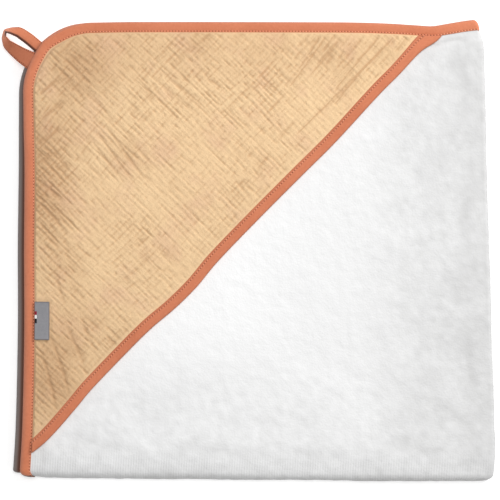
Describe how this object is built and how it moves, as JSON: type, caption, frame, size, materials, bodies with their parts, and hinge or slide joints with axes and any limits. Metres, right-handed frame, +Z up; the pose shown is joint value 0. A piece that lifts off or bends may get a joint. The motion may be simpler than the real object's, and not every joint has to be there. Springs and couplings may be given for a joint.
{
  "type": "folded hooded bath towel",
  "caption": "Square terry bath towel folded flat in four, with a bias-bound edge, a crinkled gauze hood sewn over one rounded corner, a woven tab and a hanging loop.",
  "frame": {"origin": "on the surface the towel lies on, under the middle of its outline", "axes": "+Z up through the folded layers, +X towards the side fold, +Y towards the bound top edge"},
  "size_m": [0.4154, 0.3902, 0.0171],
  "materials": {
    "terry": "white cotton terry, matt looped pile",
    "gauze": "sand-coloured double gauze, crinkled, matt",
    "binding": "terracotta cotton bias tape, soft satin",
    "tab": "grey woven tape, soft satin"
  },
  "bodies": {
    "root": {"terry_top_layer": "terry", "terry_hidden_layers": "terry", "hood_panel": "gauze", "hood_edge_binding": "binding", "edge_binding": "binding", "hanging_loop": "binding", "label": "tab"}
  },
  "joints": []
}
